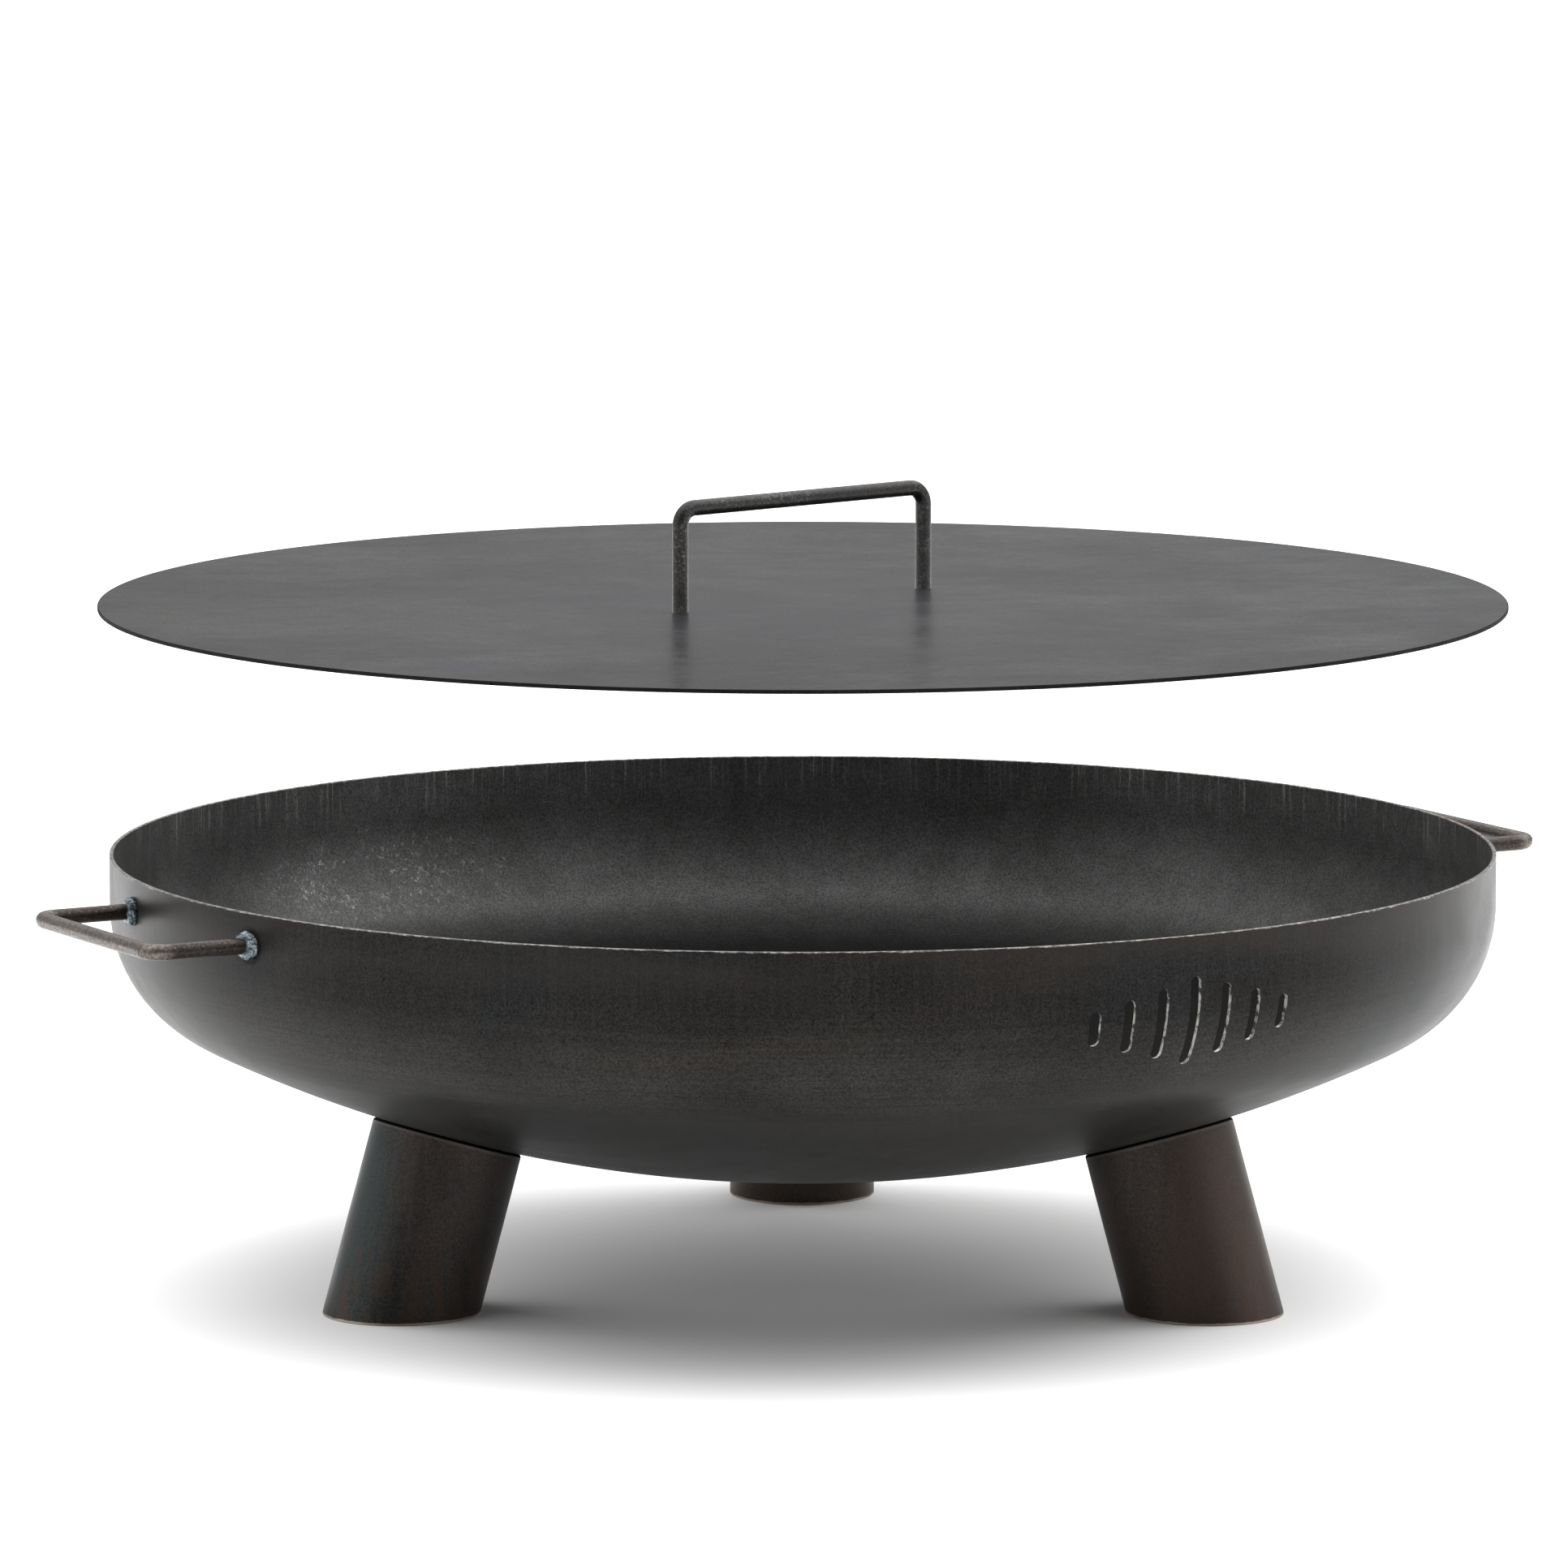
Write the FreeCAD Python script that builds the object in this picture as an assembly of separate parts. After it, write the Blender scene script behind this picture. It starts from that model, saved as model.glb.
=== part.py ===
"""Three-legged steel fire bowl with a flat lift-off lid.

Millimetres, +Z up. The origin is on the floor under the bowl's centre and the front is -Y.
The bowl is a dished end: a spherical crown, a knuckle and a straight collar. Each leg tube
stands square to the crown, so its axis passes through the crown's centre of curvature.
At rest the lid is held in the air, over the rim.
"""

import FreeCAD
import Part
import math
import os

Vector = FreeCAD.Vector
Rotation = FreeCAD.Rotation
Placement = FreeCAD.Placement

X_AXIS = Vector(1, 0, 0)
Y_AXIS = Vector(0, 1, 0)
Z_AXIS = Vector(0, 0, 1)
ORIGIN = Vector(0, 0, 0)
FRONT = -90.0  # bearing of the front, in degrees from +X
TOUCH = 0.02  # clearance left where one piece lies against another

# Bowl
BOWL_D = 700.0
WALL = 2.0
CROWN_R = BOWL_D  # outer radius of the crown
KNUCKLE_R = BOWL_D / 10  # outer radius of the knuckle
COLLAR_H = 26.0
RIM_Z = 217.0
BOWL_R = BOWL_D / 2
KNUCKLE_CENTRE_R = BOWL_R - KNUCKLE_R
KNUCKLE_Z = RIM_Z - COLLAR_H
CENTRE_GAP = CROWN_R - KNUCKLE_R
CROWN_Z = KNUCKLE_Z + math.sqrt(CENTRE_GAP**2 - KNUCKLE_CENTRE_R**2)
CROWN_ANGLE = math.asin(KNUCKLE_CENTRE_R / CENTRE_GAP)

# Draught slots, cut through the wall at the front right
SLOT_COUNT = 7
SLOT_WIDTH = 6.0
SLOT_MIDDLE_LENGTH = 44.0
SLOT_STEP_LENGTH = 9.0  # each slot is this much shorter than the one nearer the middle
SLOT_STEP_ANGLE = 3.0
SLOT_BEARING = FRONT + 32.5
SLOT_Z = RIM_Z - 42.0

# Legs
LEG_BEARINGS = {"front_left": FRONT - 60, "front_right": FRONT + 60, "rear": FRONT + 180}
LEG_TILT = 17.0
TUBE_R = 76.1 / 2
TUBE_WALL = 2.9
TUBE_BORE_R = TUBE_R - TUBE_WALL
TUBE_TOP = math.sqrt(CROWN_R**2 - TUBE_BORE_R**2) + TOUCH  # from the crown's centre
PLATE_RECESS = 3.0
PLATE_T = 5.0
PLATE_TOP = TUBE_TOP + PLATE_RECESS
PLATE_UNDER = PLATE_TOP + PLATE_T
PLATE_WELD = 4.0

# M10 leg bolts
BOLT_HOLE_R = 11.0 / 2
BOLT_R = 9.9 / 2
BOLT_LENGTH = 25.0
HEAD_H = 6.4
HEX_FLATS = 17.0
HEX_FACE = 0.96  # a chamfered end's flat face, as a part of the width across flats
NUT_H = 8.0
NUT_BORE_R = 10.0 / 2
WASHER_R = 20.0 / 2
WASHER_T = 2.0
WASHER_BORE_R = 10.5 / 2
WASHER_FACE = math.sqrt((CROWN_R - WALL) ** 2 - WASHER_R**2) - TOUCH  # from the crown's centre

# Handles, bent from round bar
ROD_R = 8.0 / 2
BEND_R = 9.0  # to the bar's centreline
SIDE_HALF = 65.0  # half the distance between a side handle's two arms
SIDE_REACH = 50.0  # from the wall to the far side of the grip
SIDE_HANDLE_Z = RIM_Z - 16.0
SIDE_BEARINGS = {"left": FRONT - 61, "right": FRONT + 119}
SIDE_WELD_R = 7.8
SIDE_WELD_REACH = 6.5

# Lid
LID_R = 710.0 / 2
LID_T = 2.0
LID_LIFT = 124.0  # height of the lid's underside over the rim at rest
LID_Z = RIM_Z + LID_LIFT
LID_TOP = LID_Z + LID_T
LID_HANDLE_BEARING = 40.0
LID_HANDLE_HALF = 80.0  # half the distance between the lid handle's two posts
LID_HANDLE_REACH = 56.0  # from the lid to the top of the grip
LID_HOLE_R = ROD_R + 0.1
LID_WELD_R = 7.5
LID_WELD_H = 2.6


def polar(radius, angle, centre_z):
    """A point in the XZ plane, at this angle from straight down, about a centre on an axis."""
    return Vector(radius * math.sin(angle), 0, centre_z - radius * math.cos(angle))


def edge_line(start, end):
    return Part.LineSegment(start, end).toShape()


def edge_arc(start, middle, end):
    return Part.Arc(start, middle, end).toShape()


def turned(shape, bearing):
    """The shape turned about +Z, so that its +X points at the bearing."""
    shape.rotate(ORIGIN, Z_AXIS, bearing)
    return shape


def revolved(edges):
    return Part.Face(Part.Wire(edges)).revolve(ORIGIN, Z_AXIS, 360)


def dish_side(offset):
    """One side of the bowl's wall, this far inside the outer one: its bottom point, rim point and edges."""
    crown_r = CROWN_R - offset
    knuckle_r = KNUCKLE_R - offset
    knuckle = Vector(KNUCKLE_CENTRE_R, 0, 0)
    half_turn = (CROWN_ANGLE + math.pi / 2) / 2
    bottom = polar(crown_r, 0, CROWN_Z)
    join = polar(crown_r, CROWN_ANGLE, CROWN_Z)
    collar = polar(knuckle_r, math.pi / 2, KNUCKLE_Z) + knuckle
    crown_arc = edge_arc(bottom, polar(crown_r, CROWN_ANGLE / 2, CROWN_Z), join)
    knuckle_arc = edge_arc(join, polar(knuckle_r, half_turn, KNUCKLE_Z) + knuckle, collar)
    rim = Vector(collar.x, 0, RIM_Z)
    return bottom, rim, [crown_arc, knuckle_arc, edge_line(collar, rim)]


def bowl_shell():
    outer_bottom, outer_rim, outer = dish_side(0)
    inner_bottom, inner_rim, inner = dish_side(WALL)
    closing = [edge_line(outer_rim, inner_rim), edge_line(inner_bottom, outer_bottom)]
    return revolved(Part.sortEdges(outer + inner + closing)[0])


def slot_cutter(length, bearing):
    """A round-ended bar along the radius, through the wall."""
    half = length / 2 - SLOT_WIDTH / 2
    side = SLOT_WIDTH / 2
    start = BOWL_R - KNUCKLE_R
    sides = ((-side, -half), (-side, half), (side, half), (side, -half))
    corners = [Vector(start, y, z) for y, z in sides]
    top = Vector(start, 0, half + side)
    under = Vector(start, 0, -half - side)
    edges = [
        edge_line(corners[0], corners[1]),
        edge_arc(corners[1], top, corners[2]),
        edge_line(corners[2], corners[3]),
        edge_arc(corners[3], under, corners[0]),
    ]
    bar = Part.Face(Part.Wire(edges)).extrude(X_AXIS * (KNUCKLE_R + WALL))
    bar.translate(Z_AXIS * SLOT_Z)
    return turned(bar, bearing)


def slot_cutters():
    middle = SLOT_COUNT // 2
    cutters = []
    for index in range(SLOT_COUNT):
        step = index - middle
        length = SLOT_MIDDLE_LENGTH - abs(step) * SLOT_STEP_LENGTH
        cutters.append(slot_cutter(length, SLOT_BEARING + step * SLOT_STEP_ANGLE))
    return cutters


def on_leg(shape, bearing):
    """Moves a shape from a leg's frame: its origin is the crown's centre, and its -Z runs down the leg."""
    tilt = Rotation(Y_AXIS, -LEG_TILT)
    turn = Rotation(Z_AXIS, bearing)
    shape.Placement = Placement(Z_AXIS * CROWN_Z, turn * tilt) * shape.Placement
    return shape


def leg_cylinder(radius, near, far):
    """A cylinder on a leg's axis, between two distances from the crown's centre."""
    return Part.makeCylinder(radius, far - near, Vector(0, 0, -far))


def make_bowl():
    holes = [
        on_leg(leg_cylinder(BOLT_HOLE_R, CROWN_R - 4 * WALL, CROWN_R + 4 * WALL), bearing)
        for bearing in LEG_BEARINGS.values()
    ]
    return bowl_shell().cut(slot_cutters() + holes)


def make_leg_tube(bearing):
    floor_reach = 2 * TUBE_R + CROWN_Z / math.cos(math.radians(LEG_TILT))
    tube = leg_cylinder(TUBE_R, TUBE_TOP, floor_reach).cut(
        leg_cylinder(TUBE_BORE_R, TUBE_TOP - WALL, floor_reach + WALL)
    )
    above_floor = Part.makeBox(2 * BOWL_D, 2 * BOWL_D, BOWL_D, Vector(-BOWL_D, -BOWL_D, 0))
    return on_leg(tube, bearing).common(above_floor)


def make_leg_plate(bearing):
    disc = leg_cylinder(TUBE_BORE_R - TOUCH, PLATE_TOP, PLATE_UNDER)
    return on_leg(disc.cut(leg_cylinder(BOLT_HOLE_R, PLATE_TOP - WALL, PLATE_UNDER + WALL)), bearing)


def make_leg_plate_weld(bearing):
    """A fillet bead in the corner between the plate's underside and the tube's bore."""
    outer = TUBE_BORE_R - TOUCH
    top = -PLATE_UNDER - TOUCH
    corner = Vector(outer, 0, top)
    on_plate = Vector(outer - PLATE_WELD, 0, top)
    on_tube = Vector(outer, 0, top - PLATE_WELD)
    hollow = PLATE_WELD * 0.42
    throat = Vector(outer - hollow, 0, top - hollow)
    edges = [edge_line(corner, on_plate), edge_arc(on_plate, throat, on_tube), edge_line(on_tube, corner)]
    return on_leg(revolved(edges), bearing)


def hexagon(height, chamfered_ends):
    """A hexagonal prism from z = 0 up, with its corners turned off at the ends named."""
    corner_r = HEX_FLATS / math.sqrt(3)
    points = [
        Vector(corner_r * math.cos(math.radians(60 * k)), corner_r * math.sin(math.radians(60 * k)), 0)
        for k in range(7)
    ]
    prism = Part.Face(Part.makePolygon(points)).extrude(Z_AXIS * height)
    tip_r = HEX_FLATS / 2 * HEX_FACE
    reach = tip_r + height * math.tan(math.radians(60))
    if "top" in chamfered_ends:
        prism = prism.common(Part.makeCone(reach, tip_r, height))
    if "bottom" in chamfered_ends:
        prism = prism.common(Part.makeCone(tip_r, reach, height))
    return prism


def make_leg_nut(bearing):
    nut = hexagon(NUT_H, ("top", "bottom"))
    nut = nut.cut(Part.makeCylinder(NUT_BORE_R, NUT_H))
    nut.translate(Vector(0, 0, -PLATE_UNDER - TOUCH - NUT_H))
    return on_leg(nut, bearing)


def make_leg_washer(bearing):
    ring = leg_cylinder(WASHER_R, WASHER_FACE - WASHER_T, WASHER_FACE)
    bore = leg_cylinder(WASHER_BORE_R, WASHER_FACE - 2 * WASHER_T, WASHER_FACE + WASHER_T)
    return on_leg(ring.cut(bore), bearing)


def make_leg_bolt(bearing):
    seat = WASHER_FACE - WASHER_T - TOUCH
    head = hexagon(HEAD_H, ("top",))
    head.translate(Vector(0, 0, -seat))
    shank = leg_cylinder(BOLT_R, seat, seat + BOLT_LENGTH)
    shank = shank.makeChamfer(1.0, [edge for edge in shank.Edges if edge.BoundBox.ZMax < -seat - 1])
    return on_leg(head.fuse(shank).removeSplitter(), bearing)


def corner_arc(corner, before, after):
    """A quarter turn of the bar's centreline, between two runs at right angles."""
    start = corner - before * BEND_R
    end = corner + after * BEND_R
    centre = start + after * BEND_R
    middle = centre + (corner - centre).normalize() * BEND_R
    return edge_arc(start, middle, end)


def bent_bar(start, first_corner, second_corner, end):
    """Round bar along three straight runs in one plane, with a tight bend at each corner."""
    first_in = (first_corner - start).normalize()
    across = (second_corner - first_corner).normalize()
    last_out = (end - second_corner).normalize()
    edges = [
        edge_line(start, first_corner - first_in * BEND_R),
        corner_arc(first_corner, first_in, across),
        edge_line(first_corner + across * BEND_R, second_corner - across * BEND_R),
        corner_arc(second_corner, across, last_out),
        edge_line(second_corner + last_out * BEND_R, end),
    ]
    section = Part.Wire([Part.Circle(start, first_in, ROD_R).toShape()])
    return Part.Wire(edges).makePipeShell([section], True, False)


def bowl_core():
    """Everything inside the bowl's collar, as a cutter for what is welded to its outside."""
    return Part.makeCylinder(BOWL_R + TOUCH, RIM_Z)


def make_side_handle(bearing):
    inner = BOWL_R - KNUCKLE_R / 2
    grip = BOWL_R + SIDE_REACH - ROD_R
    turns = ((inner, -SIDE_HALF), (grip, -SIDE_HALF), (grip, SIDE_HALF), (inner, SIDE_HALF))
    corners = [Vector(x, y, SIDE_HANDLE_Z) for x, y in turns]
    return turned(bent_bar(*corners).cut(bowl_core()), bearing)


def make_side_weld(bearing, side):
    """A bead round one arm of a side handle, where it meets the wall."""
    wall = math.sqrt(BOWL_R**2 - SIDE_HALF**2)
    foot = Vector(SIDE_WELD_R, 0, -2 * WALL)
    belly = Vector(SIDE_WELD_R * 0.88, 0, SIDE_WELD_REACH * 0.4)
    toe = Vector(ROD_R + TOUCH, 0, SIDE_WELD_REACH)
    bore_foot = Vector(ROD_R + TOUCH, 0, -2 * WALL)
    bead = revolved([edge_arc(foot, belly, toe), edge_line(toe, bore_foot), edge_line(bore_foot, foot)])
    bead.rotate(ORIGIN, Y_AXIS, 90)
    bead.translate(Vector(wall, side * SIDE_HALF, SIDE_HANDLE_Z))
    return turned(bead.cut(bowl_core()), bearing)


def lid_posts():
    """Where the lid handle's two posts stand, left one first."""
    along = Rotation(Z_AXIS, LID_HANDLE_BEARING).multVec(X_AXIS)
    return [along * -LID_HANDLE_HALF, along * LID_HANDLE_HALF]


def make_lid_plate():
    plate = Part.makeCylinder(LID_R, LID_T, Z_AXIS * LID_Z)
    below = Z_AXIS * (LID_Z - LID_T)
    return plate.cut([Part.makeCylinder(LID_HOLE_R, 3 * LID_T, post + below) for post in lid_posts()])


def make_lid_handle():
    left, right = lid_posts()
    low = Z_AXIS * LID_Z
    high = Z_AXIS * (LID_TOP + LID_HANDLE_REACH - ROD_R)
    return bent_bar(left + low, left + high, right + high, right + low)


def make_lid_weld(post):
    """A low domed bead under the lid, over the end of one post."""
    dome_r = (LID_WELD_R**2 + LID_WELD_H**2) / (2 * LID_WELD_H)
    ball = Part.makeSphere(dome_r, Z_AXIS * (dome_r - LID_WELD_H))
    bead = ball.common(Part.makeCylinder(LID_R / 2, LID_WELD_H * 2, Z_AXIS * (-LID_WELD_H * 2)))
    bead.translate(post + Z_AXIS * (LID_Z - TOUCH))
    return bead


def all_parts():
    parts = {"bowl": make_bowl(), "lid_plate": make_lid_plate(), "lid_handle": make_lid_handle()}
    for name, bearing in LEG_BEARINGS.items():
        parts[f"leg_tube_{name}"] = make_leg_tube(bearing)
        parts[f"leg_plate_{name}"] = make_leg_plate(bearing)
        parts[f"leg_plate_weld_{name}"] = make_leg_plate_weld(bearing)
        parts[f"leg_nut_{name}"] = make_leg_nut(bearing)
        parts[f"leg_washer_{name}"] = make_leg_washer(bearing)
        parts[f"leg_bolt_{name}"] = make_leg_bolt(bearing)
    for name, bearing in SIDE_BEARINGS.items():
        parts[f"side_handle_{name}"] = make_side_handle(bearing)
    sides = {"left": {"rear": -1, "front": 1}, "right": {"front": -1, "rear": 1}}
    for handle, ends in sides.items():
        for end, side in ends.items():
            parts[f"handle_weld_{handle}_{end}"] = make_side_weld(SIDE_BEARINGS[handle], side)
    for name, post in zip(("left", "right"), lid_posts()):
        parts[f"lid_weld_{name}"] = make_lid_weld(post)
    return parts


def main():
    os.makedirs("parts", exist_ok=True)
    for name, shape in all_parts().items():
        if not shape.isValid():
            raise ValueError(f"{name} isn't a valid solid")
        shape.exportStep(f"parts/{name}.step")
        box = shape.optimalBoundingBox()
        heights = f"z {box.ZMin:.2f} to {box.ZMax:.2f}"
        print(f"{name}: {len(shape.Solids)} solid, {shape.Volume:.1f} mm3, {heights}")


main()
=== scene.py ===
"""Looks for the three-legged steel fire bowl with its lift-off lid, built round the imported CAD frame.

Everything is in metres and in the CAD frame: +Z up, the floor at z = 0, the front towards -Y.
"""

import math

import bmesh
import bpy
import numpy as np
from mathutils import Matrix, Vector, noise


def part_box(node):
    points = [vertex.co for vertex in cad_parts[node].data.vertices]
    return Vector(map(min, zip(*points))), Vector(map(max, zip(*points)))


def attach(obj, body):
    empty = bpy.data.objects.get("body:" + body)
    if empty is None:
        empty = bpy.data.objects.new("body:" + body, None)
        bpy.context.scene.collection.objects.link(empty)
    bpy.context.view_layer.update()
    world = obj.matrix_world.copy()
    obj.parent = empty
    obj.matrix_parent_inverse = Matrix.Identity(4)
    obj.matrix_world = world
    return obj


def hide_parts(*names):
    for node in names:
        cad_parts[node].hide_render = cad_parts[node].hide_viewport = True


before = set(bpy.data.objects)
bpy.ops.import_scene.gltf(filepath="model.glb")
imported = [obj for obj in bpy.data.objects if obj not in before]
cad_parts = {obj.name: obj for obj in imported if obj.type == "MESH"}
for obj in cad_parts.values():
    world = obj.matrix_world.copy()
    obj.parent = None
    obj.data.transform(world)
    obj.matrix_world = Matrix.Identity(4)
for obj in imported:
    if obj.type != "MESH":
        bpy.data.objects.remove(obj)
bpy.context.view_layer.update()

MM = 0.001
FRONT = math.radians(-90)  # a bearing: bearings are angles about Z from +X
UP = Vector((0, 0, 1))
TINY = 1e-9  # less than any real distance
SAME_PLACE = 1e-7  # points closer than this are joined

# Sizes read from the frame
BOWL_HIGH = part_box("bowl")[1]
LID_LOW, LID_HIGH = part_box("lid_plate")
GRIP_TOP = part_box("lid_handle")[1].z
SIDE_BAR_LOW, SIDE_BAR_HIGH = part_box("side_handle_left")
BOWL_R = BOWL_HIGH.x
RIM_Z = BOWL_HIGH.z
LID_R = LID_HIGH.x

# Bowl
WALL = 2 * MM
CROWN_R = 2 * BOWL_R
KNUCKLE_R = BOWL_R / 5
COLLAR_H = 26 * MM
KNUCKLE_CENTRE_R = BOWL_R - KNUCKLE_R
KNUCKLE_Z = RIM_Z - COLLAR_H
CENTRE_GAP = CROWN_R - KNUCKLE_R
CROWN_Z = KNUCKLE_Z + math.sqrt(CENTRE_GAP**2 - KNUCKLE_CENTRE_R**2)
CROWN_ANGLE = math.asin(KNUCKLE_CENTRE_R / CENTRE_GAP)

# How far edges are rounded
EDGE = 0.4 * MM  # on the rim, the lid and the ends of the leg tubes
SLOT_EDGE = 0.65 * MM  # where slots and bolt holes meet the wall
TUBE_EDGE = 1.3 * MM  # outside, at the top of a leg tube
RIM_FOOT = RIM_Z - 3 * EDGE  # slots and bolt holes lie below this

# How finely the pieces are divided
TURNS = 432  # round the bowl and the lid
EDGE_STEPS = 4
SLOT_SIDES = 24
HOLE_SIDES = 32
TUBE_SIDES = 144
TUBE_ROWS = 9
BAR_SIDES = 40
BEAD_SIDES = 120
BEAD_ROWS = 14
LID_RINGS = (0, 0.02, 0.06, 0.12, 0.2, 0.28)  # radii of the circles across the lid's faces

# Cosines that sort the bowl's faces after it is cut
ON_WALL = 0.985  # with the wall's own direction: above this, a face is part of the wall
IN_CUT = 0.7  # and below this, it is inside a slot or hole
SHARP = 0.5  # between two faces: below this, their edge is rounded

# Draught slots
SLOT_COUNT = 7
SLOT_WIDTH = 6 * MM
SLOT_MIDDLE_LENGTH = 44 * MM
SLOT_STEP_LENGTH = 9 * MM
SLOT_STEP_ANGLE = math.radians(3)
SLOT_BEARING = FRONT + math.radians(32.5)
SLOT_Z = RIM_Z - 42 * MM
SLOT_CUT = (KNUCKLE_CENTRE_R, BOWL_R * 1.02)  # the radii between which a slot is cut

# Legs
LEG_BEARINGS = {"front_left": -150, "front_right": -30, "rear": 90}
LEG_TILT = math.radians(17)
TUBE_R = 38.05 * MM
TUBE_BORE_R = 35.15 * MM
TUBE_GAP = 0.02 * MM  # between the bowl and the top of a tube
TUBE_TOP = math.sqrt(CROWN_R**2 - TUBE_BORE_R**2) + TUBE_GAP
BOLT_HOLE_R = 5.5 * MM
HOLE_CUT = (CROWN_R - 8 * MM, CROWN_R + 8 * MM)  # the distances down the leg between which a hole is cut

# Handles
ROD_R = (SIDE_BAR_HIGH.z - SIDE_BAR_LOW.z) / 2
BEND_R = 9 * MM
SIDE_HALF = 65 * MM  # half the distance between a side handle's arms
SIDE_REACH = 50 * MM
SIDE_BAR_Z = (SIDE_BAR_HIGH.z + SIDE_BAR_LOW.z) / 2
SIDE_BEARINGS = {"left": math.radians(-151), "right": math.radians(29)}
SIDE_ENDS = {"left": {"rear": -1, "front": 1}, "right": {"front": -1, "rear": 1}}  # each arm's side
SIDE_WALL_X = math.sqrt(BOWL_R**2 - SIDE_HALF**2)
SIDE_BAR_START = SIDE_WALL_X - 0.5 * MM  # an arm ends just inside the wall
GRIP_R = BOWL_R + SIDE_REACH - ROD_R
LID_HANDLE_HALF = 80 * MM
LID_HANDLE_BEARING = math.radians(40)

# Weld beads round the side handles' arms
BEAD_TOE_R = 7.2 * MM  # from the arm's middle to where the bead meets the wall
BEAD_REACH = 4.8 * MM  # along the arm
BEAD_SINK = 0.2 * MM  # into the wall
TOE_WAVER = 0.7 * MM
TOE_RIPPLE = 0.25 * MM
REACH_WAVER = 1.2 * MM
BEAT_HEIGHT = 0.10 * MM
LUMP_HEIGHT = 0.55 * MM
GRIT_HEIGHT = 0.2 * MM

# Stains on the inside: soot low down, darkened further as painted shade, and ash dried on the wall at the
# back left
SOOT_AND_SHADE_TOP = RIM_Z - 76 * MM
SOOT_AND_SHADE_FULL = RIM_Z - 104 * MM
RESIDUE_SPOT = (-0.215, 0.250, 0.166)

# Camera: a long lens, looking slightly down at the front
CAMERA_DISTANCE = 5.5
CAMERA_X = -9.5 * MM
CAMERA_Z = 1.003
CAMERA_PITCH = math.radians(7.8)
CAMERA_LENS = 252.3
CAMERA_SENSOR = 36.0
CAMERA_FAR = 100.0

# Studio. The walls go from FRONT_GLOW, where the camera stands, to BACK_GLOW, and the camera sees a
# plain BACKDROP. Each soft box has a direction, the cosines to it at which the box starts and is full,
# and its strength. The two fill lights stand at FILL_PLACE and at its mirror image.
FLOOR_HALF = 12.0
FRONT_GLOW = 0.05
BACK_GLOW = 0.51
BACKDROP = 1.05
SOFT_BOXES = (
    ((0.13, 0.28, 0.95), 0.50, 0.97, 3.4),
    ((-0.85, -0.14, 0.53), 0.62, 0.95, 1.65),
    ((0.85, -0.14, 0.53), 0.62, 0.95, 1.65),
)
FILL_PLACE = (1.6, 0.75, 0.75)
FILL_SIZE = 1.2
FILL_POWER = 16.0


# ---------------------------------------------------------------- node graphs


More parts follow.
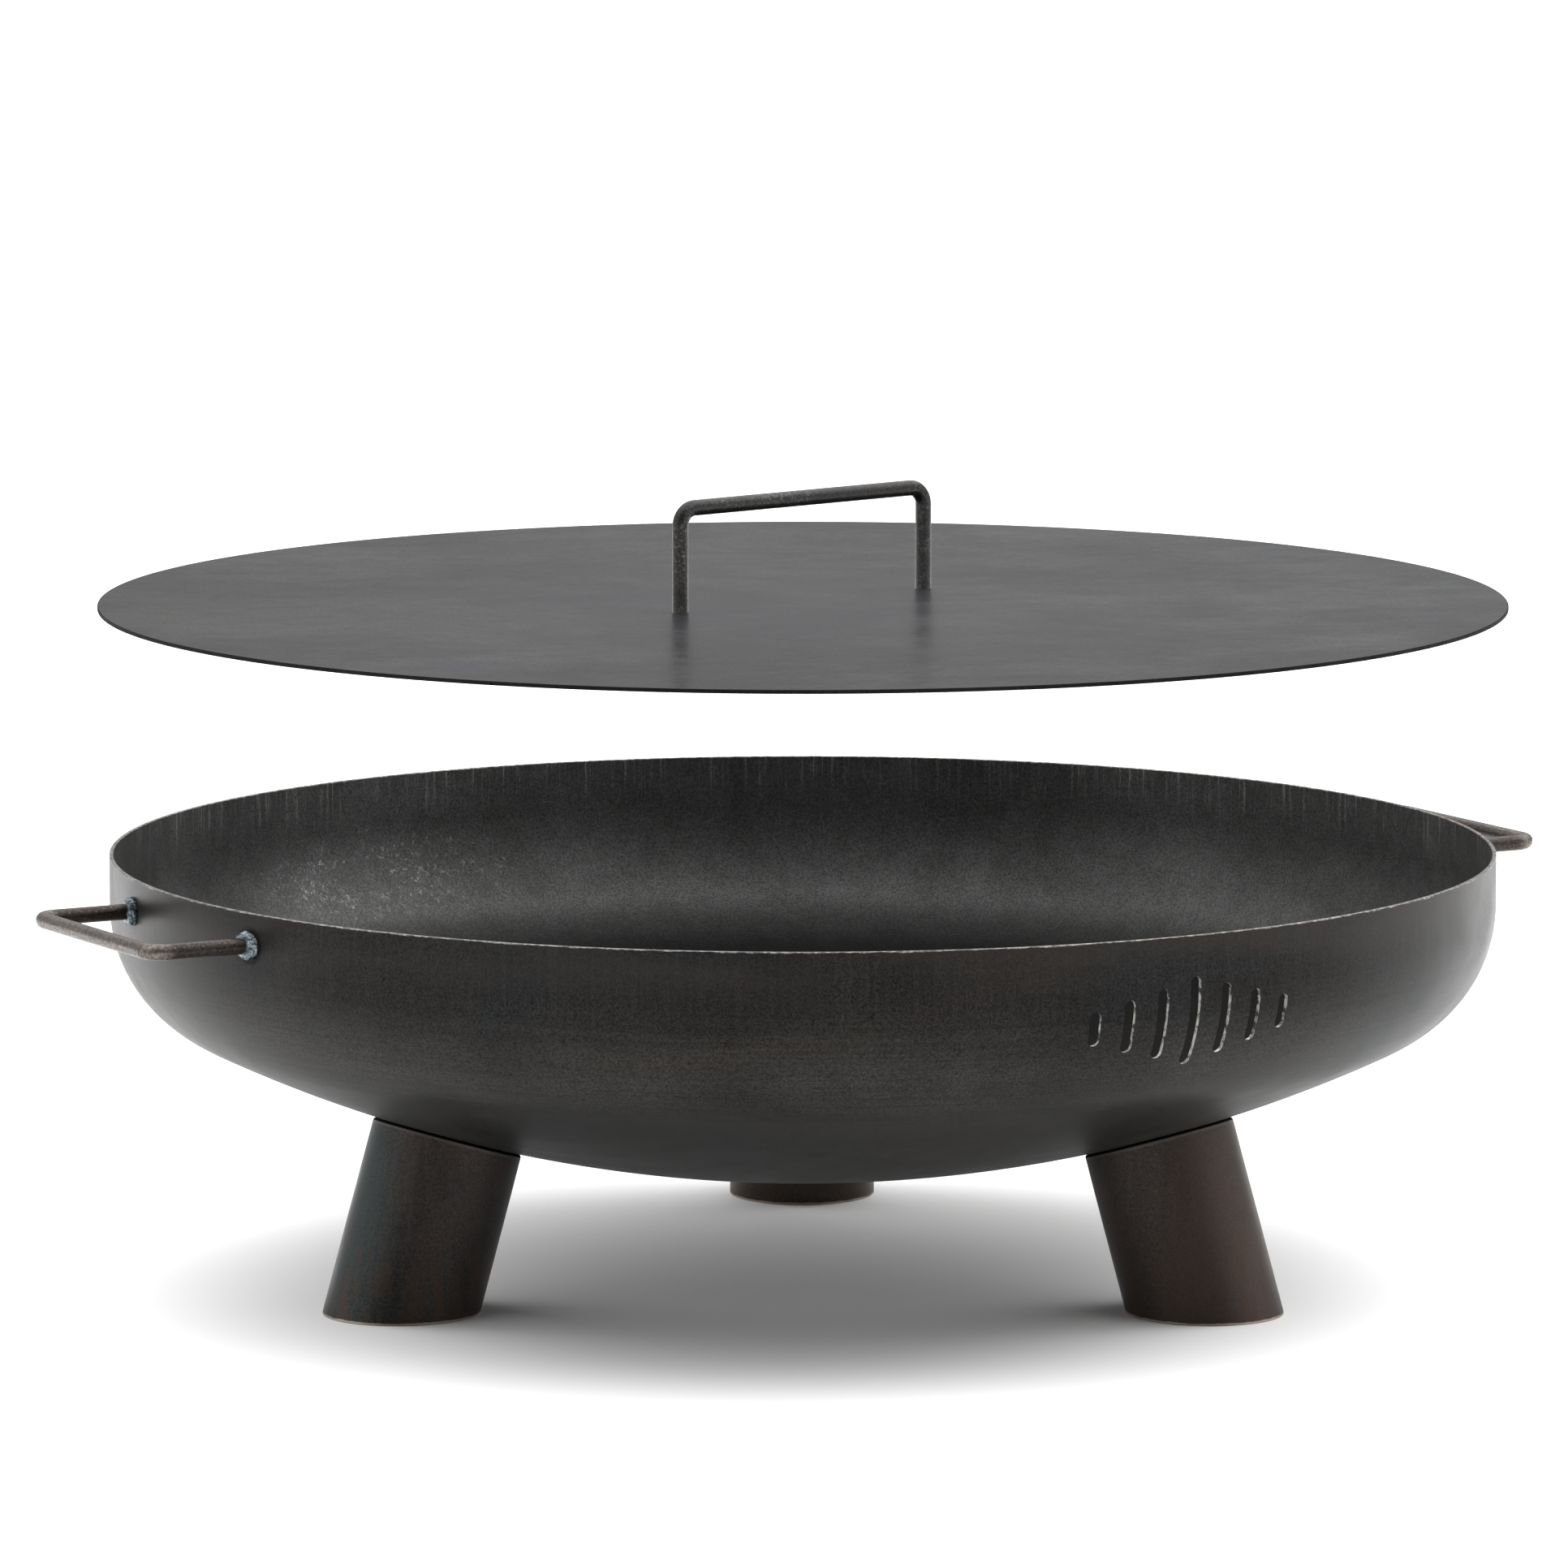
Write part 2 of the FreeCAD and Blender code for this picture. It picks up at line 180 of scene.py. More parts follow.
class Graph:
    """A small helper for building one material's nodes."""

    def __init__(self, name):
        self.material = bpy.data.materials.new(name)
        self.material.use_nodes = True
        self.tree = self.material.node_tree
        self.tree.nodes.clear()
        source = self.node("ShaderNodeTexCoord")
        self.place = source.outputs["Object"]
        self.facing = source.outputs["Normal"]
        self.x, self.y, self.z = self.node("ShaderNodeSeparateXYZ", Vector=self.place).outputs

    def node(self, kind, settings=None, **inputs):
        """A new node. Inputs are named after its sockets, and are numbers or other nodes' outputs."""
        node = self.tree.nodes.new(kind)
        for key, value in (settings or {}).items():
            setattr(node, key, value)
        for key, value in inputs.items():
            self.put(node.inputs[key.replace("_", " ")], value)
        return node

    def put(self, socket, value):
        """Links a socket to another node's output, or sets it to a value."""
        if isinstance(value, bpy.types.NodeSocket):
            self.tree.links.new(value, socket)
        else:
            socket.default_value = value

    def math(self, operation, *values):
        """One arithmetic operation on numbers."""
        node = self.node("ShaderNodeMath", {"operation": operation})
        for socket, value in zip(node.inputs, values):
            self.put(socket, value)
        return node.outputs[0]

    def product(self, *values):
        total = values[0]
        for value in values[1:]:
            total = self.math("MULTIPLY", total, value)
        return total

    def vector(self, operation, first, second, output="Vector"):
        """One operation on two vectors."""
        node = self.node("ShaderNodeVectorMath", {"operation": operation})
        self.put(node.inputs[0], first)
        self.put(node.inputs[1], second)
        return node.outputs[output]

    def stretched(self, x, y, z):
        """The piece's coordinates in metres, times a scale along each axis."""
        return self.vector("MULTIPLY", self.place, (x, y, z))

    def distance(self, point):
        return self.vector("DISTANCE", self.place, point, "Value")

    def length(self, vector):
        return self.vector("DISTANCE", vector, (0, 0, 0), "Value")

    def from_axis(self):
        """The distance from the Z axis."""
        return self.length(self.stretched(1, 1, 0))

    def noise(self, vector, scale=1.0, detail=4.0, roughness=0.55, distortion=0.0):
        """Smooth noise about 0.5, finer as scale grows."""
        texture = self.node(
            "ShaderNodeTexNoise", Vector=vector, Scale=scale, Detail=detail, Roughness=roughness,
            Distortion=distortion,
        )
        return texture.outputs["Fac"]

    def step(self, value, low, high, to_low=0.0, to_high=1.0):
        """A smooth step as value goes from low to high, which may be either way round."""
        node = self.node("ShaderNodeMapRange", {"interpolation_type": "SMOOTHSTEP"})
        for key, number in (("Value", value), ("From Min", low), ("From Max", high),
                            ("To Min", to_low), ("To Max", to_high)):
            self.put(node.inputs[key], number)
        return node.outputs["Result"]

    def mix(self, factor, first, second):
        """Mixes two numbers."""
        node = self.node("ShaderNodeMix", {"data_type": "FLOAT"})
        for index, value in ((0, factor), (2, first), (3, second)):
            self.put(node.inputs[index], value)
        return node.outputs[0]

    def blend(self, factor, first, second):
        """Mixes two colours."""
        node = self.node("ShaderNodeMix", {"data_type": "RGBA"})
        self.put(node.inputs[0], factor)
        for index, colour in ((6, first), (7, second)):
            self.put(node.inputs[index], (*colour, 1.0) if isinstance(colour, tuple) else colour)
        return node.outputs[2]

    def shade(self, factor, colour, low, high):
        """A colour times a number that goes from low to high as factor goes from 0 to 1."""
        node = self.node("ShaderNodeVectorMath", {"operation": "SCALE"})
        self.put(node.inputs[0], colour)
        self.put(node.inputs["Scale"], self.mix(factor, low, high))
        return node.outputs["Vector"]

    def bump(self, height, strength, distance, normal=None):
        """A normal tilted by a height, on top of another bump's normal where one is given."""
        node = self.node("ShaderNodeBump", Strength=strength, Distance=distance, Height=height)
        if normal:
            self.put(node.inputs["Normal"], normal)
        return node.outputs["Normal"]

    def surface(self, colour, roughness, normal, **others):
        """Finishes the material and returns it."""
        shader = self.node(
            "ShaderNodeBsdfPrincipled", Base_Color=colour, Roughness=roughness, Normal=normal)
        for key, value in others.items():
            self.put(shader.inputs[key.replace("_", " ")], value)
        self.node("ShaderNodeOutputMaterial", Surface=shader.outputs[0])
        return self.material


# ---------------------------------------------------------------- places


def turned(bearing):
    """A turn about Z that carries +X to a bearing."""
    return Matrix.Rotation(bearing, 4, "Z")


def weld_places():
    """Where the four arms of the side handles meet the wall."""
    return [turned(bearing) @ Vector((SIDE_WALL_X, side * SIDE_HALF, SIDE_BAR_Z))
            for bearing in SIDE_BEARINGS.values() for side in (-1, 1)]


def leg_frame(bearing):
    """The leg's own frame: its origin is the crown's centre and -Z runs down the leg."""
    return Matrix.Translation((0, 0, CROWN_Z)) @ (turned(bearing) @ Matrix.Rotation(-LEG_TILT, 4, "Y"))


def lid_post(sign):
    """Where a post of the lid's handle stands, at z = 0."""
    return turned(LID_HANDLE_BEARING) @ Vector((sign * LID_HANDLE_HALF, 0, 0))


# ---------------------------------------------------------------- materials


def scale_layers(g, dark, light, brown, blue):
    """Oiled hot-rolled steel: clouds of dark and light scale, brown and blue casts, grain and pits."""
    clouds = g.noise(g.place, 8.0, 6.0, 0.62, 0.6)
    casts = g.noise(g.stretched(5.0, 5.0, 9.0), 1.0, 4.0, 0.55, 0.8)
    grain = g.noise(g.place, 900.0, 2.0, 0.7)
    pits = g.noise(g.place, 380.0, 3.0, 0.6)
    colour = g.blend(g.step(clouds, 0.34, 0.68), dark, light)
    colour = g.blend(g.step(casts, 0.54, 0.72, 0.0, 0.85), colour, brown)
    colour = g.blend(g.step(casts, 0.46, 0.30, 0.0, 0.85), colour, blue)
    colour = g.shade(g.step(grain, 0.32, 0.68), colour, 0.62, 1.45)
    colour = g.shade(g.step(pits, 0.58, 0.70), colour, 1.0, 0.62)
    return colour, clouds, grain, pits


def weld_heat(g, colour, pits):
    """A blue cast on the wall round each side handle's weld, and a dark ragged line along its toe."""
    for place in weld_places():
        near = g.distance(place)
        ragged = g.math("ADD", near, g.product(pits, -2.2 * MM))
        colour = g.blend(g.step(near, 30 * MM, 9 * MM, 0.0, 0.45), colour, (0.020, 0.024, 0.029))
        colour = g.shade(g.step(ragged, 9.2 * MM, 7.6 * MM), colour, 1.0, 0.2)
    return colour


def bowl_outside(g, colour, outside, collar, brushing):
    """Turning lines round the dish, brushing up the collar, a brown cast under the rim, and painted light:
    the collar darker and the dish below it lighter.
    """
    profile = g.product(g.math("ADD", g.from_axis(), g.z), 650.0)
    across = g.node("ShaderNodeCombineXYZ", X=g.product(g.x, 5.0), Y=g.product(g.y, 5.0), Z=profile)
    lay = g.noise(across.outputs[0], 1.0, 3.0, 0.65)
    lines = g.product(outside, g.step(collar, 1.0, 0.0, 0.35, 1.0), g.step(lay, 0.35, 0.65))
    # Painted light and shade: the collar darker and the dish below the knuckle lighter, as if it mirrored
    # the floor.
    colour = g.shade(g.step(g.z, KNUCKLE_Z - 8 * MM, KNUCKLE_Z - 45 * MM), colour, 0.66, 1.32)
    colour = g.shade(lines, colour, 0.93, 1.16)
    colour = g.shade(g.product(collar, g.step(brushing, 0.40, 0.66)), colour, 0.93, 1.16)
    patches = g.step(g.noise(g.stretched(6.0, 6.0, 30.0), 1.0, 4.0, 0.6), 0.35, 0.62)
    tint = g.product(patches, outside, g.step(g.z, RIM_Z - 34 * MM, RIM_Z - 4 * MM), 0.5)
    return g.blend(tint, colour, (0.031, 0.0265, 0.0235))


def bowl_inside(g, clouds, grain, soot_and_shade):
    """Dust, soot and painted shade low down, scratches under the rim, and a patch of dried ash."""
    dust = g.blend(g.step(clouds, 0.3, 0.7), (0.040, 0.040, 0.039), (0.062, 0.062, 0.061))
    dust = g.shade(g.step(g.noise(g.place, 75.0, 5.0, 0.7), 0.38, 0.62), dust, 0.92, 1.08)
    dust = g.shade(g.step(grain, 0.3, 0.7), dust, 0.62, 1.4)
    dust = g.shade(g.step(g.z, RIM_Z - 24 * MM, RIM_Z - 40 * MM), dust, 1.15, 1.05)
    # Soot and painted shade: much darker low down.
    dust = g.shade(soot_and_shade, dust, 1.0, 0.12)
    scratches = g.step(g.noise(g.stretched(520.0, 520.0, 12.0), 1.0, 4.0, 0.8), 0.52, 0.68)
    scratches = g.product(scratches, g.step(g.z, RIM_Z - 26 * MM, RIM_Z - 2 * MM))
    dust = g.shade(scratches, dust, 1.0, 2.8)
    away = g.vector("MULTIPLY", g.vector("SUBTRACT", g.place, RESIDUE_SPOT), (1.0, 1.0, 3.8))
    residue = g.step(g.length(away), 0.115, 0.03)
    flecks = g.step(g.noise(g.place, 320.0, 6.0, 0.85), 0.55, 0.61)
    drifts = g.step(g.noise(g.stretched(26.0, 26.0, 110.0), 1.0, 3.0, 0.6), 0.38, 0.60)
    dust = g.shade(g.product(residue, flecks, drifts), dust, 1.0, 3.8)
    return g.shade(residue, dust, 1.0, 1.2)


def bare_rim(g):
    """How bare the rim's edge is rubbed, and the colour it has there."""
    waver = g.noise(g.place, 95.0, 4.0, 0.65)
    low = g.math("SUBTRACT", RIM_Z - 0.35 * MM, g.product(g.step(waver, 0.3, 0.8), 0.7 * MM))
    bare = g.step(g.math("SUBTRACT", g.z, low), 0.0, 0.3 * MM)
    patch = g.step(g.noise(g.place, 300.0, 4.0, 0.7), 0.4, 0.62)
    return bare, g.blend(patch, (0.09, 0.086, 0.08), (0.29, 0.28, 0.265))


def bowl_steel():
    """The dish: turned and brushed outside with painted light and shade, dusty inside with soot and painted
    shade low down, and bare on the rim's edge.
    """
    g = Graph("bowl_mill_scale")
    colour, clouds, grain, pits = scale_layers(
        g, (0.019, 0.018, 0.017), (0.030, 0.029, 0.027), (0.028, 0.025, 0.0225), (0.022, 0.024, 0.0255))
    outwards = g.vector("SUBTRACT", g.place, (0, 0, CROWN_Z))
    inside = g.step(g.vector("DOT_PRODUCT", g.facing, outwards, "Value"), 0.05, -0.05)
    outside = g.math("SUBTRACT", 1.0, inside)
    collar = g.step(g.z, KNUCKLE_Z - 25 * MM, KNUCKLE_Z + 5 * MM)
    brushing = g.noise(g.stretched(360.0, 360.0, 14.0), 1.0, 4.0, 0.75)
    # Partly soot and partly painted shade: the inside darkens towards the bottom, and is rough and not
    # metal there.
    soot_and_shade = g.step(g.math("ADD", g.z, g.product(clouds, -14 * MM)), SOOT_AND_SHADE_TOP, SOOT_AND_SHADE_FULL)
    sooty_and_shaded = g.product(inside, soot_and_shade)

    colour = weld_heat(g, colour, pits)
    colour = bowl_outside(g, colour, outside, collar, brushing)
    colour = g.blend(inside, colour, bowl_inside(g, clouds, grain, soot_and_shade))
    bare, silver = bare_rim(g)
    colour = g.blend(bare, colour, silver)

    rough = g.step(g.math("ADD", clouds, g.product(grain, 0.4)), 0.5, 0.9, 0.36, 0.48)
    rough = g.mix(inside, rough, g.mix(grain, 0.46, 0.56))
    rough = g.mix(sooty_and_shaded, rough, 0.95)
    rough = g.mix(bare, rough, 0.30)
    normal = g.bump(grain, 0.10, 0.05 * MM)
    normal = g.bump(g.product(collar, brushing), 0.10, 0.05 * MM, normal)
    normal = g.bump(pits, 0.10, 0.08 * MM, normal)
    metal = g.mix(sooty_and_shaded, g.mix(inside, 0.70, 0.55), 0.0)
    return g.surface(colour, rough, normal, Metallic=metal, IOR=1.2, Specular_IOR_Level=0.3)


def cut_metal_and_glint_steel():
    """Patchy bright metal, left where the slots and bolt holes were cut, brightened further as a painted
    glint.
    """
    g = Graph("cut_edge")
    patch = g.noise(g.place, 210.0, 4.0, 0.75)
    fine = g.noise(g.place, 1200.0, 2.0, 0.6)
    # Partly bare cut metal and partly painted glint: the bright patches.
    colour = g.blend(g.step(patch, 0.40, 0.60), (0.04, 0.037, 0.034), (0.46, 0.445, 0.415))
    rough = g.step(fine, 0.3, 0.7, 0.2, 0.38)
    return g.surface(colour, rough, g.bump(fine, 0.3, 0.08 * MM), Metallic=0.1)


def lid_steel():
    """The lid: mill grain along X, faint blotches, a purple cast in the middle, painted light that leaves
    it darker to the left and front, and a painted dark edge.
    """
    g = Graph("lid_mill_scale")
    colour, _, _, pits = scale_layers(
        g, (0.021, 0.021, 0.0215), (0.039, 0.039, 0.0395), (0.035, 0.033, 0.032), (0.027, 0.028, 0.033))
    lines = g.noise(g.stretched(9.0, 620.0, 620.0), 1.0, 3.0, 0.7)
    blotches = g.noise(g.stretched(9.0, 14.0, 9.0), 1.0, 7.0, 0.72, 0.3)
    flakes = g.noise(g.stretched(45.0, 90.0, 45.0), 1.0, 5.0, 0.75)
    colour = g.shade(g.step(lines, 0.35, 0.65), colour, 0.94, 1.08)
    colour = g.shade(g.step(blotches, 0.36, 0.66), colour, 0.82, 1.14)
    colour = g.shade(g.step(flakes, 0.38, 0.62), colour, 0.86, 1.12)
    middle = g.step(g.distance((-0.02, -0.05, LID_HIGH.z)), 0.3, 0.02, 0.0, 0.5)
    colour = g.blend(middle, colour, (0.033, 0.031, 0.037))
    # Painted light: the lid darker to the left and front, and lighter and a little more metallic to the
    # right and back.
    rubbed = g.product(g.step(g.x, -0.30, 0.10), g.step(g.y, -0.34, -0.10), g.step(blotches, 0.34, 0.62))
    colour = g.shade(rubbed, colour, 0.84, 1.06)
    # Painted shade: the lid's rim darkened all round, as if it mirrored the dark front.
    edge = g.step(g.from_axis(), LID_R - 0.7 * MM, LID_R - 0.3 * MM)
    colour = g.shade(edge, colour, 1.0, 0.25)
    rough = g.step(g.math("ADD", blotches, g.product(lines, 0.4)), 0.5, 0.9, 0.26, 0.36)
    rough = g.mix(edge, rough, 0.7)
    normal = g.bump(lines, 0.08, 0.05 * MM)
    normal = g.bump(pits, 0.08, 0.08 * MM, normal)
    metal = g.product(rubbed, 0.35)
    return g.surface(colour, rough, normal, Metallic=metal, IOR=1.25, Specular_IOR_Level=0.25)


def leg_steel():
    """The leg tubes: a blue-green band on the left leg, and brown elsewhere, strongest on the right leg.

    The top edge is worn, with painted shade in the seam against the bowl, and the feet are worn and a
    little rusty.
    """
    g = Graph("leg_mill_scale")
    colour, clouds, grain, _ = scale_layers(
        g, (0.024, 0.022, 0.021), (0.038, 0.036, 0.034), (0.038, 0.031, 0.027), (0.026, 0.029, 0.029))
    streaks = g.noise(g.stretched(160.0, 160.0, 12.0), 1.0, 4.0, 0.65)
    colour = g.shade(g.step(streaks, 0.35, 0.7), colour, 0.88, 1.2)
    patchy = g.step(clouds, 0.35, 0.6, 0.3, 1.0)
    teal = g.product(g.step(g.x, -0.192, -0.218), g.step(g.x, -0.262, -0.240), patchy, 0.55)
    brown = g.math("MAXIMUM", g.step(g.x, 0.15, 0.20, 0.0, 0.75), g.step(g.x, -0.215, -0.190, 0.0, 0.4))
    colour = g.blend(g.product(brown, patchy), colour, (0.054, 0.037, 0.030))
    colour = g.blend(teal, colour, (0.024, 0.036, 0.037))
    lower = g.step(g.z, 70 * MM, 5 * MM, 0.0, 0.6)
    colour = g.blend(g.product(lower, g.step(streaks, 0.45, 0.6)), colour, (0.048, 0.028, 0.019))
    waver = g.noise(g.place, 120.0, 4.0, 0.65)
    top = g.math("ADD", g.distance((0, 0, CROWN_Z)), g.product(waver, -1.6 * MM))
    worn_top = g.step(top, CROWN_R + 2.4 * MM, CROWN_R + 1.4 * MM, 0.0, 0.5)
    # Painted shade: the tube's top darkened nearly to black where it meets the bowl.
    seam_shade = g.step(g.distance((0, 0, CROWN_Z)), CROWN_R + 1.7 * MM, CROWN_R + 1.2 * MM)
    worn_foot = g.step(g.math("ADD", g.z, g.product(waver, -1.4 * MM)), 0.9 * MM, 0.2 * MM, 0.0, 0.9)
    colour = g.blend(worn_top, colour, (0.09, 0.085, 0.08))
    colour = g.shade(seam_shade, colour, 1.0, 0.04)
    colour = g.blend(worn_foot, colour, (0.32, 0.27, 0.23))
    rough = g.step(g.math("ADD", clouds, g.product(streaks, 0.5)), 0.45, 1.0, 0.36, 0.50)
    rough = g.mix(seam_shade, rough, 0.9)
    normal = g.bump(grain, 0.10, 0.05 * MM)
    normal = g.bump(streaks, 0.06, 0.08 * MM, normal)
    return g.surface(colour, rough, normal, Metallic=0.6, IOR=1.25)


def bar_steel(name, dark, light, brown, worn_from):
    """Round bar with patches of rubbed flecks, worn bare further from the Z axis than worn_from."""
    g = Graph(name)
    colour, clouds, _, _ = scale_layers(g, dark, light, brown, dark)
    rubbed = g.noise(g.place, 620.0, 4.0, 0.8)
    patch = g.step(g.noise(g.place, 40.0, 3.0, 0.6), 0.38, 0.60)
    colour = g.shade(g.product(patch, g.step(rubbed, 0.50, 0.62)), colour, 1.0, 3.0)
    held = g.step(g.from_axis(), worn_from - 6 * MM, worn_from + 2 * MM)
    bare = g.blend(g.step(rubbed, 0.35, 0.65), (0.055, 0.047, 0.041), (0.19, 0.165, 0.145))
    colour = g.blend(g.product(held, g.step(clouds, 0.2, 0.5, 0.5, 0.9)), colour, bare)
    rough = g.step(rubbed, 0.3, 0.7, 0.44, 0.28)
    normal = g.bump(rubbed, 0.2, 0.08 * MM)
    return g.surface(colour, rough, normal, Metallic=0.7, IOR=1.4)


def weld_steel():
    """Weld metal: blued and browned patches with a fine grit."""
    g = Graph("weld_metal")
    patch = g.noise(g.place, 260.0, 4.0, 0.6, 0.4)
    fine = g.noise(g.place, 1500.0, 2.0, 0.6)
    colour = g.blend(g.step(patch, 0.38, 0.62), (0.035, 0.052, 0.063), (0.20, 0.24, 0.26))
    colour = g.blend(g.step(patch, 0.58, 0.72, 0.0, 0.8), colour, (0.17, 0.125, 0.09))
    colour = g.shade(g.step(fine, 0.35, 0.65), colour, 0.6, 1.3)
    rough = g.step(fine, 0.3, 0.7, 0.2, 0.4)
    return g.surface(colour, rough, g.bump(fine, 0.4, 0.12 * MM), Metallic=0.8)


def bolt_steel():
    """Smudged plain steel, for the bolts, nuts and washers."""
    g = Graph("bolt_steel")
    patch = g.noise(g.place, 140.0, 4.0, 0.6)
    fine = g.noise(g.stretched(1500.0, 1500.0, 300.0), 1.0, 2.0, 0.6)
    colour = g.blend(g.step(patch, 0.35, 0.7), (0.045, 0.042, 0.040), (0.12, 0.115, 0.11))
    rough = g.step(fine, 0.3, 0.7, 0.28, 0.45)
    return g.surface(colour, rough, g.bump(fine, 0.15, 0.05 * MM), Metallic=0.9)


def floor_paper():
    """The studio's pale paper floor."""
    g = Graph("floor_paper")
    colour = g.blend(g.noise(g.place, 3.0, 3.0, 0.5), (0.93, 0.93, 0.93), (0.95, 0.95, 0.95))
    return g.surface(colour, 0.9, g.bump(g.noise(g.place, 500.0, 2.0), 0.02, 0.1 * MM), IOR=1.1)


# ---------------------------------------------------------------- mesh tools


def make_piece(name, vertices, faces, material, body, normals=None):
    """One shown piece. normals gives one direction per vertex, where the surface's own is known."""
    mesh = bpy.data.meshes.new(name)
    mesh.from_pydata([tuple(v) for v in vertices], [], faces)
    mesh.validate()
    mesh.shade_smooth()
    if normals is not None:
        mesh.normals_split_custom_set_from_vertices([tuple(n) for n in normals])
    piece = bpy.data.objects.new(name, mesh)
    bpy.context.scene.collection.objects.link(piece)
    mesh.materials.append(material)
    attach(piece, body)
    return piece


def ring_faces(rows, columns, closed_rows=False):
    """Quads over a grid of rows that each close on themselves."""
    faces = []
    for row in range(rows if closed_rows else rows - 1):
        above = (row + 1) % rows
        for column in range(columns):
            beside = (column + 1) % columns
            faces.append((row * columns + column, row * columns + beside,
                          above * columns + beside, above * columns + column))
    return faces


def closed_tube_faces(rows, columns):
    """Quads over a grid of rings, with a flat end on the first ring and on the last."""
    last = (rows - 1) * columns
    ends = [tuple(range(columns))[::-1], tuple(range(last, last + columns))]
    return ring_faces(rows, columns) + ends


def prism_faces(sides):
    """Faces of a closed bar, whose corners are one end's and then the other's."""
    walls = [(k, (k + 1) % sides, sides + (k + 1) % sides, sides + k) for k in range(sides)]
    return walls + [tuple(range(sides))[::-1], tuple(range(sides, 2 * sides))]


def arc_points(centre, radius, start, end, count):
    """(r, z, normal r, normal z) along an arc of a profile; angles are from straight down, outwards."""
    points = []
    for index in range(count + 1):
        angle = start + (end - start) * index / count
        across, down = math.sin(angle), -math.cos(angle)
        points.append((centre[0] + radius * across, centre[1] + radius * down, across, down))
    return points


def dish_profile(offset, crown_rows=40, knuckle_rows=22, collar_rows=5):
    """The bowl's side from its bottom to the foot of the rim's rounding, this far inside."""
    sign = -1 if offset else 1
    crown = arc_points((0, CROWN_Z), CROWN_R - offset, 0, CROWN_ANGLE, crown_rows)
    knuckle = arc_points((KNUCKLE_CENTRE_R, KNUCKLE_Z), KNUCKLE_R - offset, CROWN_ANGLE, math.pi / 2,
                         knuckle_rows)
    heights = np.linspace(KNUCKLE_Z, RIM_Z - EDGE, collar_rows + 1)[1:]
    collar = [(BOWL_R - offset, z, 1, 0) for z in heights]
    return [(r, z, sign * a, sign * b) for r, z, a, b in crown + knuckle[1:] + collar]


def revolve(profile, turns):
    """Vertices, faces and normals of a profile turned about Z.

    A profile point on the axis becomes one vertex.
    """
    vertices, normals, rows = [], [], []
    for r, z, a, b in profile:
        count = 1 if r < TINY else turns
        rows.append((len(vertices), count))
        for k in range(count):
            angle = 2 * math.pi * k / turns
            c, s = math.cos(angle), math.sin(angle)
            vertices.append((r * c, r * s, z))
            normals.append((a * c, a * s, b))
    faces = []
    for (low, low_count), (high, high_count) in zip(rows, rows[1:]):
        for k in range(turns):
            n = (k + 1) % turns
            if low_count == 1:
                faces.append((low, high + n, high + k))
            elif high_count == 1:
                faces.append((low + k, low + n, high))
            else:
                faces.append((low + k, low + n, high + n, high + k))
    return vertices, faces, normals


def stadium_cutter(length, bearing):
    """A round-ended bar through the wall, along the radius."""
    side, half = SLOT_WIDTH / 2, (length - SLOT_WIDTH) / 2
    angles = [2 * math.pi * (k + 0.5) / SLOT_SIDES for k in range(SLOT_SIDES)]
    outline = [(side * math.cos(a), math.copysign(half, math.sin(a)) + side * math.sin(a))
               for a in angles]
    turn = turned(bearing)
    points = [turn @ Vector((x, y, SLOT_Z + z)) for x in SLOT_CUT for y, z in outline]
    return points, prism_faces(SLOT_SIDES)


def hole_cutter(bearing):
    """A round bar through the crown, on a leg's axis."""
    place = leg_frame(bearing)
    angles = [2 * math.pi * k / HOLE_SIDES for k in range(HOLE_SIDES)]
    points = [place @ Vector((BOLT_HOLE_R * math.cos(a), BOLT_HOLE_R * math.sin(a), -distance))
              for distance in HOLE_CUT for a in angles]
    return points, prism_faces(HOLE_SIDES)


def cut(piece, cutters):
    """Cuts closed shapes out of a piece and leaves nothing of them behind."""
    mesh = bpy.data.meshes.new("cutters")
    vertices, faces = [], []
    for points, sides in cutters:
        start = len(vertices)
        vertices += points
        faces += [tuple(start + k for k in side) for side in sides]
    mesh.from_pydata([tuple(v) for v in vertices], [], faces)
    work = bmesh.new()
    work.from_mesh(mesh)
    bmesh.ops.recalc_face_normals(work, faces=work.faces)
    work.to_mesh(mesh)
    work.free()
    tool = bpy.data.objects.new("cutters", mesh)
    bpy.context.scene.collection.objects.link(tool)
    modifier = piece.modifiers.new("cut", "BOOLEAN")
    modifier.object = tool
    modifier.solver = "EXACT"
    graph = bpy.context.evaluated_depsgraph_get()
    result = bpy.data.meshes.new_from_object(piece.evaluated_get(graph))
    piece.modifiers.clear()
    old = piece.data
    piece.data = result
    bpy.data.meshes.remove(old)
    bpy.data.objects.remove(tool)
    bpy.data.meshes.remove(mesh)


# ---------------------------------------------------------------- bowl


def dish_normals(points):
    """The wall's outward direction at points on or near it."""
    radius = np.hypot(points[:, 0], points[:, 1])
    around = points[:, :2] / np.maximum(radius, TINY)[:, None]
    crown = np.stack([radius, points[:, 2] - CROWN_Z], 1)
    knuckle = np.stack([radius - KNUCKLE_CENTRE_R, points[:, 2] - KNUCKLE_Z], 1)
    on_crown = np.arctan2(crown[:, 0], -crown[:, 1]) < CROWN_ANGLE
    flat = np.where(on_crown[:, None], crown, knuckle)
    flat[points[:, 2] > KNUCKLE_Z] = (1, 0)
    flat /= np.linalg.norm(flat, axis=1)[:, None]
    return np.stack([around[:, 0] * flat[:, 0], around[:, 1] * flat[:, 0], flat[:, 1]], 1)


